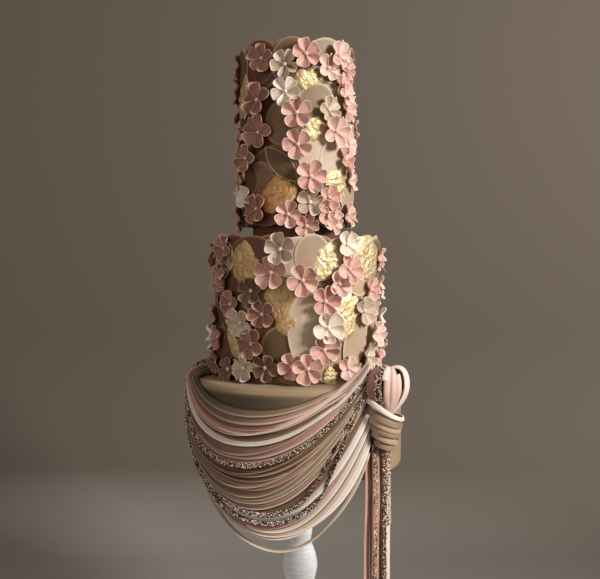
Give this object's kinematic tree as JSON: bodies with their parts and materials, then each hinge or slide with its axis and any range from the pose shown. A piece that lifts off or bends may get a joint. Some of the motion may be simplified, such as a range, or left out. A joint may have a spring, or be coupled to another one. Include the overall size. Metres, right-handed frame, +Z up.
{
  "type": "tiered birthday cake on a stand",
  "caption": "Tall tiered birthday cake with sugar blossoms, gold leaf, a draped swag of paste strips tied in a knot with tails, on a white turned pedestal.",
  "frame": {"origin": "centre of the stand's underside, on the table", "axes": "+Z up through the stand, -Y towards the shown side, +X to the viewer's right, where the knot is"},
  "size_m": [0.2132, 0.2148, 0.6391],
  "materials": {
    "painted_wood": "turned wood under chalky white paint, a little worn",
    "plain_sugar_paste": "smooth rolled sugar paste, tan",
    "cocoa_sugar_paste": "rolled sugar paste plaques in cocoa and taupe tones",
    "strip_sugar_paste": "flat hand-cut paste strips in rose, khaki, cream and cocoa",
    "rose_sugar_paste": "matt dusty pink gum paste",
    "blush_sugar_paste": "matt pale pink gum paste",
    "mauve_sugar_paste": "matt brownish pink gum paste",
    "ivory_sugar_paste": "matt ivory gum paste",
    "taupe_sugar_paste": "matt taupe gum paste",
    "gold_leaf": "crinkled edible gold leaf"
  },
  "bodies": {
    "root": {"bottom_tier": "plain_sugar_paste", "knot": "strip_sugar_paste", "middle_blossom_01_rose": "rose_sugar_paste", "middle_blossom_02_taupe": "taupe_sugar_paste", "middle_blossom_03_mauve": "mauve_sugar_paste", "middle_blossom_04_rose": "rose_sugar_paste", "middle_blossom_05_rose": "rose_sugar_paste", "middle_blossom_06_rose": "rose_sugar_paste", "middle_blossom_07_taupe": "taupe_sugar_paste", "middle_blossom_08_taupe": "taupe_sugar_paste", "middle_blossom_09_mauve": "mauve_sugar_paste", "middle_blossom_10_ivory": "ivory_sugar_paste", "middle_blossom_11_taupe": "taupe_sugar_paste", "middle_blossom_12_rose": "rose_sugar_paste", "middle_blossom_13_rose": "rose_sugar_paste", "middle_blossom_14_ivory": "ivory_sugar_paste", "middle_blossom_15_blush": "blush_sugar_paste", "middle_blossom_16_taupe": "taupe_sugar_paste", "middle_blossom_17_blush": "blush_sugar_paste", "middle_blossom_18_rose": "rose_sugar_paste", "middle_blossom_19_mauve": "mauve_sugar_paste", "middle_blossom_20_blush": "blush_sugar_paste", "middle_blossom_21_taupe": "taupe_sugar_paste", "middle_blossom_22_ivory": "ivory_sugar_paste", "middle_tier": "cocoa_sugar_paste", "neck_tier": "cocoa_sugar_paste", "stand_foot": "painted_wood", "stand_plate": "painted_wood", "stand_stem": "painted_wood", "swag": "strip_sugar_paste", "tail_1": "rose_sugar_paste", "tail_2": "mauve_sugar_paste", "tail_3": "taupe_sugar_paste", "tail_4": "ivory_sugar_paste", "tail_5": "mauve_sugar_paste", "tail_6": "ivory_sugar_paste", "tail_7": "taupe_sugar_paste", "tail_8": "ivory_sugar_paste", "top_blossom_01_mauve": "mauve_sugar_paste", "top_blossom_02_rose": "rose_sugar_paste", "top_blossom_03_blush": "blush_sugar_paste", "top_blossom_04_ivory": "ivory_sugar_paste", "top_blossom_05_mauve": "mauve_sugar_paste", "top_blossom_06_rose": "rose_sugar_paste", "top_blossom_07_taupe": "taupe_sugar_paste", "top_blossom_08_rose": "rose_sugar_paste", "top_blossom_09_mauve": "mauve_sugar_paste", "top_blossom_10_blush": "blush_sugar_paste", "top_blossom_11_rose": "rose_sugar_paste", "top_blossom_12_mauve": "mauve_sugar_paste", "top_blossom_13_mauve": "mauve_sugar_paste", "top_blossom_14_rose": "rose_sugar_paste", "top_blossom_15_rose": "rose_sugar_paste", "top_blossom_16_rose": "rose_sugar_paste", "top_blossom_17_mauve": "mauve_sugar_paste", "top_blossom_18_rose": "rose_sugar_paste", "top_blossom_19_mauve": "mauve_sugar_paste", "top_blossom_20_blush": "blush_sugar_paste", "top_blossom_21_taupe": "taupe_sugar_paste", "top_tier": "cocoa_sugar_paste"}
  },
  "joints": []
}
